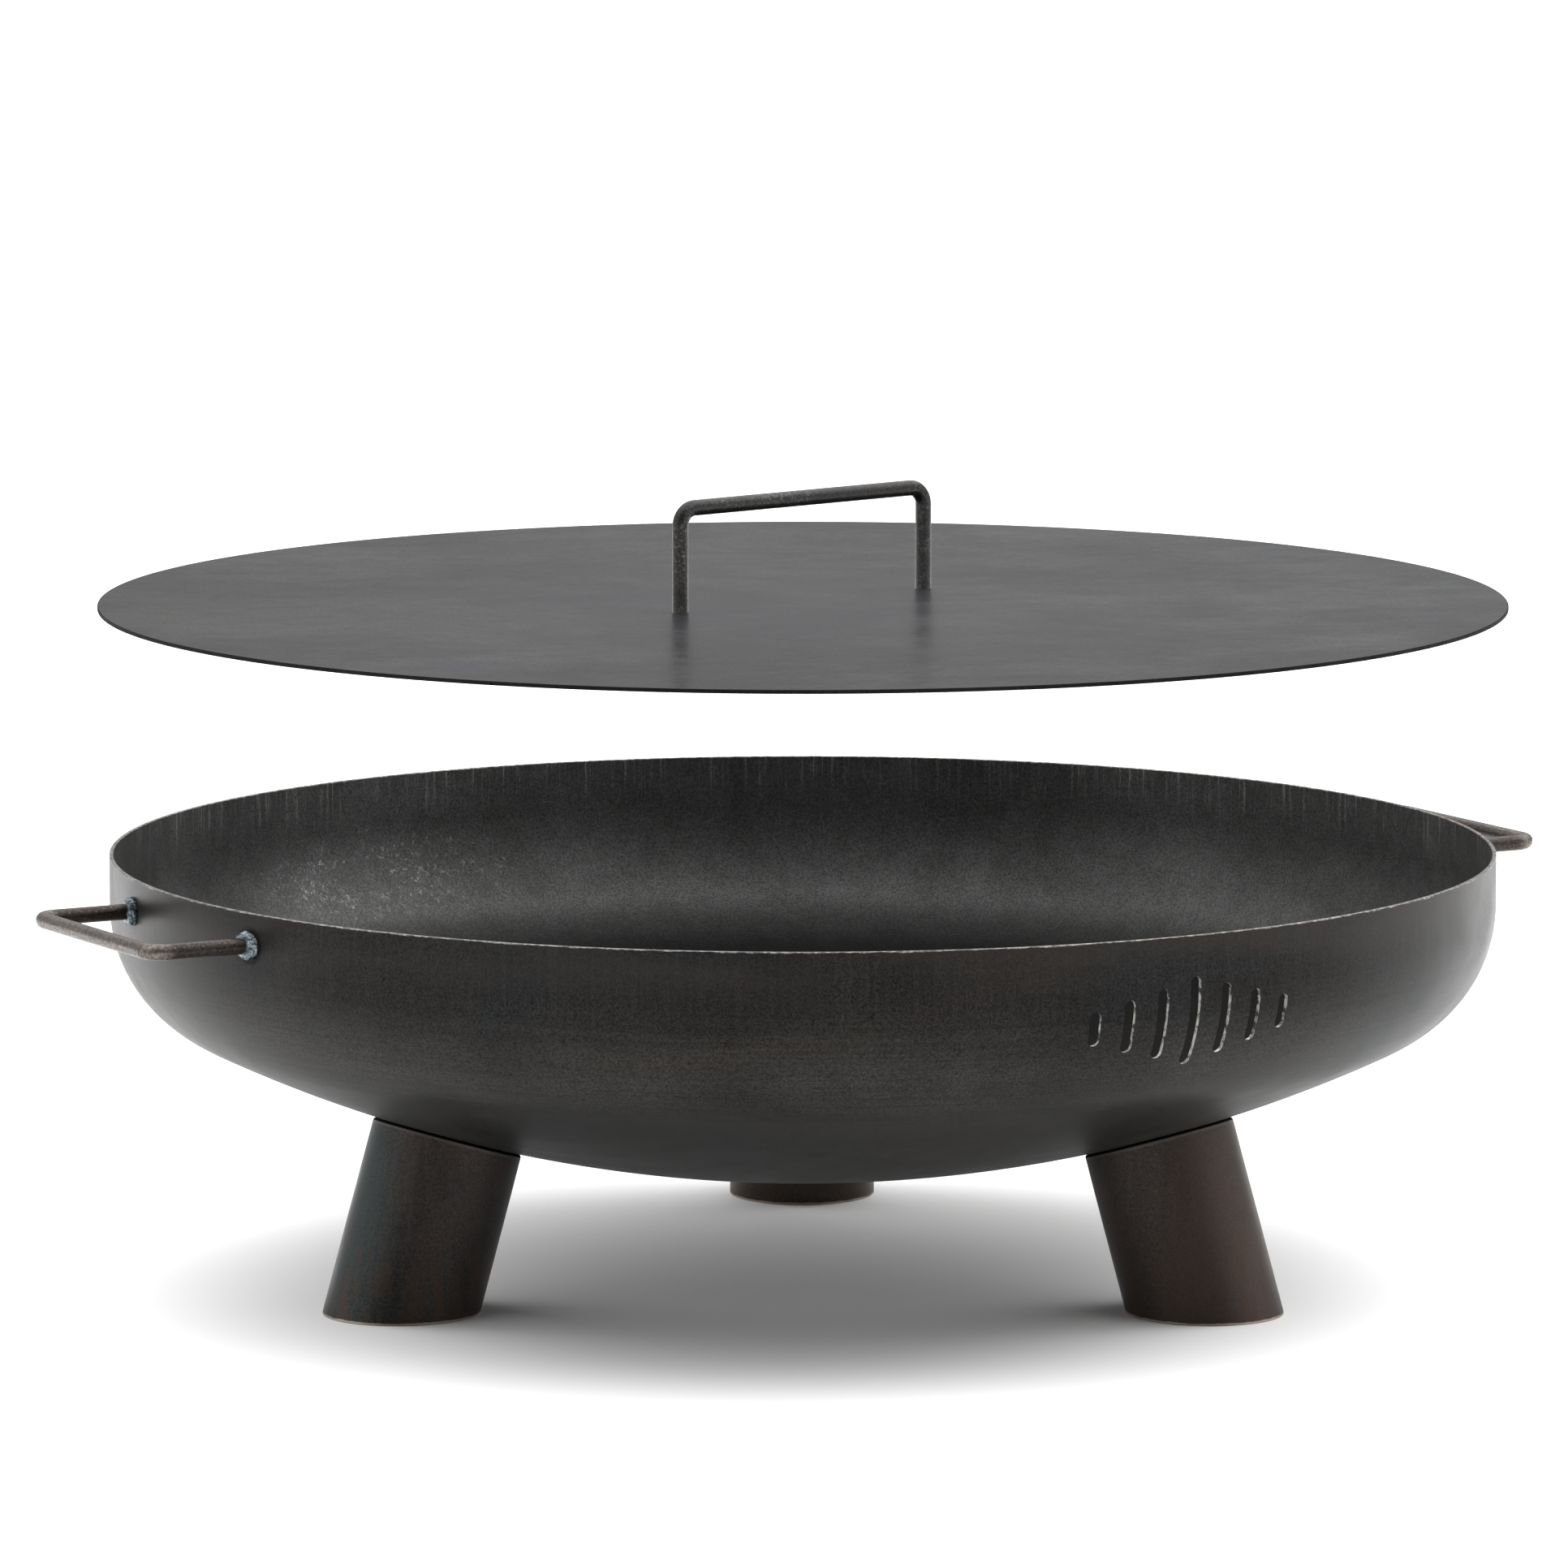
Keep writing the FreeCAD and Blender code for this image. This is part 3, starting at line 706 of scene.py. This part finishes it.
def shade_bowl(mesh):
    """Gives corners on the wall the true surface's normal, and those in cuts their own face's."""
    count = len(mesh.loops)
    corners = np.empty(count, np.int32)
    mesh.loops.foreach_get("vertex_index", corners)
    places = np.empty(len(mesh.vertices) * 3)
    mesh.vertices.foreach_get("co", places)
    places = places.reshape(-1, 3)[corners]
    own = np.empty(len(mesh.polygons) * 3)
    mesh.polygons.foreach_get("normal", own)
    sizes = np.empty(len(mesh.polygons), np.int32)
    mesh.polygons.foreach_get("loop_total", sizes)
    own = np.repeat(own.reshape(-1, 3), sizes, axis=0)
    smooth = np.empty(count * 3)
    mesh.corner_normals.foreach_get("vector", smooth)
    smooth = smooth.reshape(-1, 3)
    wall = dish_normals(places)
    facing = (wall * own).sum(1)
    on_wall = (np.abs(facing) > ON_WALL) & (places[:, 2] < RIM_Z - EDGE / 2)
    near_rim = places[:, 2] > RIM_Z - 1.2 * EDGE
    chosen = np.where(near_rim[:, None], smooth, own)
    chosen = np.where(on_wall[:, None], wall * np.sign(facing)[:, None], chosen)
    mesh.normals_split_custom_set([tuple(n) for n in chosen])


def is_cut_edge(edge):
    """Whether an edge is sharp and lies below the rim."""
    if len(edge.link_faces) != 2 or edge.verts[0].co.z >= RIM_FOOT:
        return False
    first, second = edge.link_faces
    return first.normal.dot(second.normal) < SHARP


def soften_cuts(mesh):
    """Gives the faces inside slots and holes the second material, and rounds their edges."""
    work = bmesh.new()
    work.from_mesh(mesh)
    bmesh.ops.remove_doubles(work, verts=work.verts, dist=SAME_PLACE)
    centres = np.array([face.calc_center_median() for face in work.faces])
    normals = np.array([face.normal for face in work.faces])
    facing = np.abs((dish_normals(centres) * normals).sum(1))
    for face, part, z in zip(work.faces, facing, centres[:, 2]):
        if part < IN_CUT and z < RIM_FOOT:
            face.material_index = 1
    edges = [edge for edge in work.edges if is_cut_edge(edge)]
    bmesh.ops.bevel(work, geom=edges, offset=SLOT_EDGE, segments=2, profile=0.5, affect="EDGES",
                    clamp_overlap=True, material=1)
    work.to_mesh(mesh)
    work.free()


def bowl_profile():
    """The wall's whole outline, from the bottom outside, over the rim, to the bottom inside."""
    half = math.pi / 2
    outer_edge = arc_points((BOWL_R - EDGE, RIM_Z - EDGE), EDGE, half, 2 * half, EDGE_STEPS)[1:]
    inner_edge = arc_points((BOWL_R - WALL + EDGE, RIM_Z - EDGE), EDGE, 2 * half, 3 * half, EDGE_STEPS)[:-1]
    return dish_profile(0) + outer_edge + inner_edge + dish_profile(WALL)[::-1]


def make_bowl(material, cut_and_glint_material):
    """The bowl's shell, with its draught slots and bolt holes."""
    vertices, faces, normals = revolve(bowl_profile(), TURNS)
    piece = make_piece("bowl_shell", vertices, faces, material, "fire_bowl", normals)
    middle = SLOT_COUNT // 2
    cutters = []
    for k in range(-middle, middle + 1):
        length = SLOT_MIDDLE_LENGTH - abs(k) * SLOT_STEP_LENGTH
        cutters.append(stadium_cutter(length, SLOT_BEARING + k * SLOT_STEP_ANGLE))
    for bearing in LEG_BEARINGS.values():
        cutters.append(hole_cutter(math.radians(bearing)))
    cut(piece, cutters)
    piece.data.materials.append(cut_and_glint_material)
    soften_cuts(piece.data)
    piece.data.shade_smooth()
    shade_bowl(piece.data)
    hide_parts("bowl")


# ---------------------------------------------------------------- legs


def floor_reach(radius, angle):
    """How far down the leg's axis a tube wall at this radius and angle meets the floor."""
    return (CROWN_Z + radius * math.cos(angle) * math.sin(LEG_TILT)) / math.cos(LEG_TILT)


def tube_section(angle, down):
    """One lengthwise section of a tube's wall, as (radius, distance, normal) round the wall."""
    spoke = Vector((math.cos(angle), math.sin(angle), 0))
    foot_out = floor_reach(TUBE_R, angle) - EDGE
    foot_in = floor_reach(TUBE_BORE_R, angle) - EDGE
    top = TUBE_TOP + EDGE
    section = [(TUBE_R, t, spoke) for t in np.linspace(TUBE_TOP + TUBE_EDGE, foot_out, TUBE_ROWS)]
    section += [(r, floor_reach(r, angle), down) for r in (TUBE_R - EDGE, TUBE_BORE_R + EDGE)]
    section += [(TUBE_BORE_R, t, -spoke) for t in np.linspace(foot_in, top, TUBE_ROWS)]
    section += [(TUBE_BORE_R + EDGE, TUBE_TOP, UP), (TUBE_R - TUBE_EDGE, TUBE_TOP, UP)]
    corner = 0.3 * TUBE_EDGE  # how far inside the sharp corner the rounding passes
    section.append((TUBE_R - corner, TUBE_TOP + corner, (spoke + UP).normalized()))
    return section


def make_leg_tube(name, material):
    """A leg's tube, square at the bowl and cut level at the floor."""
    place = leg_frame(math.radians(LEG_BEARINGS[name]))
    turn = place.to_3x3()
    down = turn.inverted() @ -UP
    vertices, normals = [], []
    for k in range(TUBE_SIDES):
        angle = 2 * math.pi * k / TUBE_SIDES
        for r, t, normal in tube_section(angle, down):
            vertices.append(place @ Vector((r * math.cos(angle), r * math.sin(angle), -t)))
            normals.append(turn @ normal)
    columns = len(vertices) // TUBE_SIDES
    faces = ring_faces(TUBE_SIDES, columns, closed_rows=True)
    piece = make_piece(f"leg_{name}", vertices, faces, material, "fire_bowl", normals)
    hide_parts(f"leg_tube_{name}")


# ---------------------------------------------------------------- bars


def bar_path(corners, straight_step=4 * MM, bend_steps=14):
    """Points along straight runs joined by tight quarter bends."""
    path = []
    run_start = corners[0]
    for index in range(1, len(corners)):
        before = (corners[index] - corners[index - 1]).normalized()
        last = index == len(corners) - 1
        run_end = corners[index] if last else corners[index] - before * BEND_R
        count = max(2, round((run_end - run_start).length / straight_step))
        path += [run_start.lerp(run_end, k / count) for k in range(count)]
        if last:
            path.append(run_end)
        else:
            after = (corners[index + 1] - corners[index]).normalized()
            centre = run_end + after * BEND_R
            path += [centre - after * BEND_R * math.cos(a) + before * BEND_R * math.sin(a)
                     for a in (math.pi / 2 * k / bend_steps for k in range(bend_steps))]
            run_start = corners[index] + after * BEND_R
    return path


def make_bar(name, corners, side, material, body, node):
    """Round bar along a flat path. side is square to the path's plane."""
    path = bar_path(corners)
    vertices, normals = [], []
    for index, point in enumerate(path):
        along = (path[min(index + 1, len(path) - 1)] - path[max(index - 1, 0)]).normalized()
        across = side.cross(along)
        for k in range(BAR_SIDES):
            angle = 2 * math.pi * k / BAR_SIDES
            spoke = across * math.cos(angle) + side * math.sin(angle)
            vertices.append(point + spoke * ROD_R)
            normals.append(spoke)
    faces = closed_tube_faces(len(path), BAR_SIDES)
    piece = make_piece(name, vertices, faces, material, body, normals)
    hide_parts(node)


def make_side_handle(name, material):
    """A side handle: two arms out from the wall and a grip between them."""
    turn = turned(SIDE_BEARINGS[name])
    outline = ((SIDE_BAR_START, -SIDE_HALF), (GRIP_R, -SIDE_HALF),
               (GRIP_R, SIDE_HALF), (SIDE_BAR_START, SIDE_HALF))
    corners = [turn @ Vector((x, y, SIDE_BAR_Z)) for x, y in outline]
    make_bar(f"side_bar_{name}", corners, UP, material, "fire_bowl", f"side_handle_{name}")


def make_lid_handle(material):
    """The lid's handle: two posts through the lid and a grip between them."""
    low, high = LID_LOW.z, GRIP_TOP - ROD_R
    outline = ((-1, low), (-1, high), (1, high), (1, low))
    corners = [lid_post(sign) + z * UP for sign, z in outline]
    side = (corners[2] - corners[1]).normalized().cross(UP)
    make_bar("lid_bar", corners, side, material, "lid", "lid_handle")


# ---------------------------------------------------------------- welds


def bumpy(point, scale, seed):
    """Smooth noise, different for each seed."""
    return noise.noise(Vector(point) * scale + Vector((seed, seed * 1.7, seed * 0.3)))


def bead_point(part, angle, side, seed):
    """A point of a bead, in its handle's frame. part goes from 0 at the wall to 1 on the bar."""
    spoke = (math.cos(angle), math.sin(angle))
    toe = BEAD_TOE_R + TOE_WAVER * bumpy((*spoke, 0), 1.6, seed)
    toe += TOE_RIPPLE * bumpy((*spoke, 1), 6, seed)
    reach = BEAD_REACH + REACH_WAVER * bumpy((*spoke, 2), 1.3, seed)
    radius = ROD_R * 0.98 + (toe - ROD_R) * math.cos(part * math.pi / 2) ** 0.8
    beat = angle * 11 + 1.5 * math.sin(angle * 2 + seed) + 2.2 * math.cos(part * math.pi)
    lumps = BEAT_HEIGHT * math.sin(beat) + LUMP_HEIGHT * bumpy((*spoke, part * 2), 3.2, seed)
    lumps += GRIT_HEIGHT * bumpy((*spoke, part * 3), 9, seed)
    radius += lumps * math.sin(part * math.pi)
    y = side * SIDE_HALF + radius * spoke[0]
    wall = math.sqrt(BOWL_R**2 - y**2)
    x = wall - BEAD_SINK + reach * math.sin(part * math.pi / 2)
    return Vector((x, y, SIDE_BAR_Z + radius * spoke[1]))


def make_side_weld(handle, end, material):
    """A bead round a handle's arm, from the wall up on to the bar, with ripples and uneven toes."""
    side = SIDE_ENDS[handle][end]
    turn = turned(SIDE_BEARINGS[handle])
    seed = 3.1 * side + 7.7 * (handle == "left")  # so that no two beads are alike
    vertices = []
    for row in range(BEAD_ROWS + 1):
        for k in range(BEAD_SIDES):
            angle = 2 * math.pi * k / BEAD_SIDES
            vertices.append(turn @ bead_point(row / BEAD_ROWS, angle, side, seed))
    faces = closed_tube_faces(BEAD_ROWS + 1, BEAD_SIDES)
    piece = make_piece(f"weld_{handle}_{end}", vertices, faces, material, "fire_bowl")
    fix_normals(piece)
    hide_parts(f"handle_weld_{handle}_{end}")


def fix_normals(piece):
    """Turns every face outwards."""
    work = bmesh.new()
    work.from_mesh(piece.data)
    bmesh.ops.recalc_face_normals(work, faces=work.faces)
    work.to_mesh(piece.data)
    work.free()


# ---------------------------------------------------------------- lid


def make_lid(material):
    """The lid's disc, which neither shades the bowl nor is mirrored in it."""
    low, high = LID_LOW.z, LID_HIGH.z
    half = math.pi / 2
    profile = [(r, low, 0, -1) for r in LID_RINGS]
    profile += arc_points((LID_R - EDGE, low + EDGE), EDGE, 0, half, EDGE_STEPS)
    profile += arc_points((LID_R - EDGE, high - EDGE), EDGE, half, 2 * half, EDGE_STEPS)
    profile += [(r, high, 0, 1) for r in LID_RINGS[::-1]]
    vertices, faces, normals = revolve(profile, TURNS)
    piece = make_piece("lid_disc", vertices, faces, material, "lid", normals)
    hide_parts("lid_plate")
    piece.visible_shadow = False
    piece.visible_diffuse = False
    piece.visible_glossy = False


# ---------------------------------------------------------------- studio


def make_floor():
    """A plain pale floor at z = 0."""
    corners = ((-1, -1), (1, -1), (1, 1), (-1, 1))
    mesh = bpy.data.meshes.new("floor")
    mesh.from_pydata([(x * FLOOR_HALF, y * FLOOR_HALF, 0) for x, y in corners], [], [(0, 1, 2, 3)])
    floor = bpy.data.objects.new("floor", mesh)
    mesh.materials.append(floor_paper())
    bpy.context.scene.collection.objects.link(floor)


def make_world():
    """A pale studio with soft boxes overhead and at both sides, dark where the camera stands."""
    world = bpy.data.worlds.new("studio")
    world.use_nodes = True
    bpy.context.scene.world = world
    tree = world.node_tree
    tree.nodes.clear()
    node = tree.nodes.new
    link = tree.links.new
    direction = node("ShaderNodeTexCoord").outputs["Generated"]

    def glow(towards, low, high, to_low, to_high):
        """Brightness from to_low to to_high, as the cosine to a direction goes from low to high."""
        cosine = node("ShaderNodeVectorMath")
        cosine.operation = "DOT_PRODUCT"
        link(direction, cosine.inputs[0])
        cosine.inputs[1].default_value = Vector(towards).normalized()
        step = node("ShaderNodeMapRange")
        step.interpolation_type = "SMOOTHSTEP"
        for key, number in (("From Min", low), ("From Max", high), ("To Min", to_low), ("To Max", to_high)):
            step.inputs[key].default_value = number
        link(cosine.outputs["Value"], step.inputs["Value"])
        return step.outputs[0]

    total = glow((0, 1, 0), -0.8, 0.3, FRONT_GLOW, BACK_GLOW)
    for towards, low, high, strength in SOFT_BOXES:
        both = node("ShaderNodeMath")
        link(total, both.inputs[0])
        link(glow(towards, low, high, 0.0, strength), both.inputs[1])
        total = both.outputs[0]
    lit = node("ShaderNodeBackground")
    link(total, lit.inputs["Strength"])
    plain = node("ShaderNodeBackground")
    plain.inputs["Strength"].default_value = BACKDROP
    mix = node("ShaderNodeMixShader")
    link(node("ShaderNodeLightPath").outputs["Is Camera Ray"], mix.inputs[0])
    link(lit.outputs[0], mix.inputs[1])
    link(plain.outputs[0], mix.inputs[2])
    link(mix.outputs[0], node("ShaderNodeOutputWorld").inputs[0])


def make_fill(side):
    """A soft light from one side that lifts the shadow and isn't mirrored in the steel."""
    data = bpy.data.lights.new("fill", "AREA")
    data.size = FILL_SIZE
    data.energy = FILL_POWER
    light = bpy.data.objects.new("fill", data)
    x, y, z = FILL_PLACE
    light.location = (side * x, y, z)
    light.rotation_euler = (-light.location).to_track_quat("-Z", "Y").to_euler()
    light.visible_glossy = False
    bpy.context.scene.collection.objects.link(light)


def make_camera():
    """The camera at the front, level from side to side."""
    data = bpy.data.cameras.new("camera")
    data.lens = CAMERA_LENS
    data.sensor_width = CAMERA_SENSOR
    data.clip_end = CAMERA_FAR
    camera = bpy.data.objects.new("camera", data)
    camera.location = (CAMERA_X, -CAMERA_DISTANCE, CAMERA_Z)
    camera.rotation_euler = (math.pi / 2 - CAMERA_PITCH, 0, 0)
    bpy.context.scene.collection.objects.link(camera)
    bpy.context.scene.camera = camera


# ---------------------------------------------------------------- put together


def make_studio():
    """Camera, lights and floor."""
    bpy.context.scene.view_settings.view_transform = "Standard"
    make_camera()
    make_world()
    for side in (-1, 1):
        make_fill(side)
    make_floor()


def main():
    """Builds the studio and every shown piece, and gives the carried-over CAD nodes their materials."""
    make_studio()
    leg = leg_steel()
    side_bar = bar_steel(
        "side_bar_scale", (0.016, 0.012, 0.010), (0.040, 0.032, 0.027), (0.040, 0.026, 0.019), GRIP_R)
    lid_bar = bar_steel(
        "lid_bar_scale", (0.014, 0.0135, 0.013), (0.027, 0.0265, 0.026), (0.024, 0.021, 0.019), BOWL_R)
    weld = weld_steel()
    bolt = bolt_steel()
    make_bowl(bowl_steel(), cut_metal_and_glint_steel())
    for name in LEG_BEARINGS:
        make_leg_tube(name, leg)
        for node, material in (("leg_plate", leg), ("leg_plate_weld", weld), ("leg_nut", bolt),
                               ("leg_washer", bolt), ("leg_bolt", bolt)):
            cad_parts[f"{node}_{name}"].data.materials[0] = material
    for name in SIDE_BEARINGS:
        make_side_handle(name, side_bar)
        for end in SIDE_ENDS[name]:
            make_side_weld(name, end, weld)
    make_lid(lid_steel())
    make_lid_handle(lid_bar)
    for name in ("left", "right"):
        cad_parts[f"lid_weld_{name}"].data.materials[0] = weld


main()
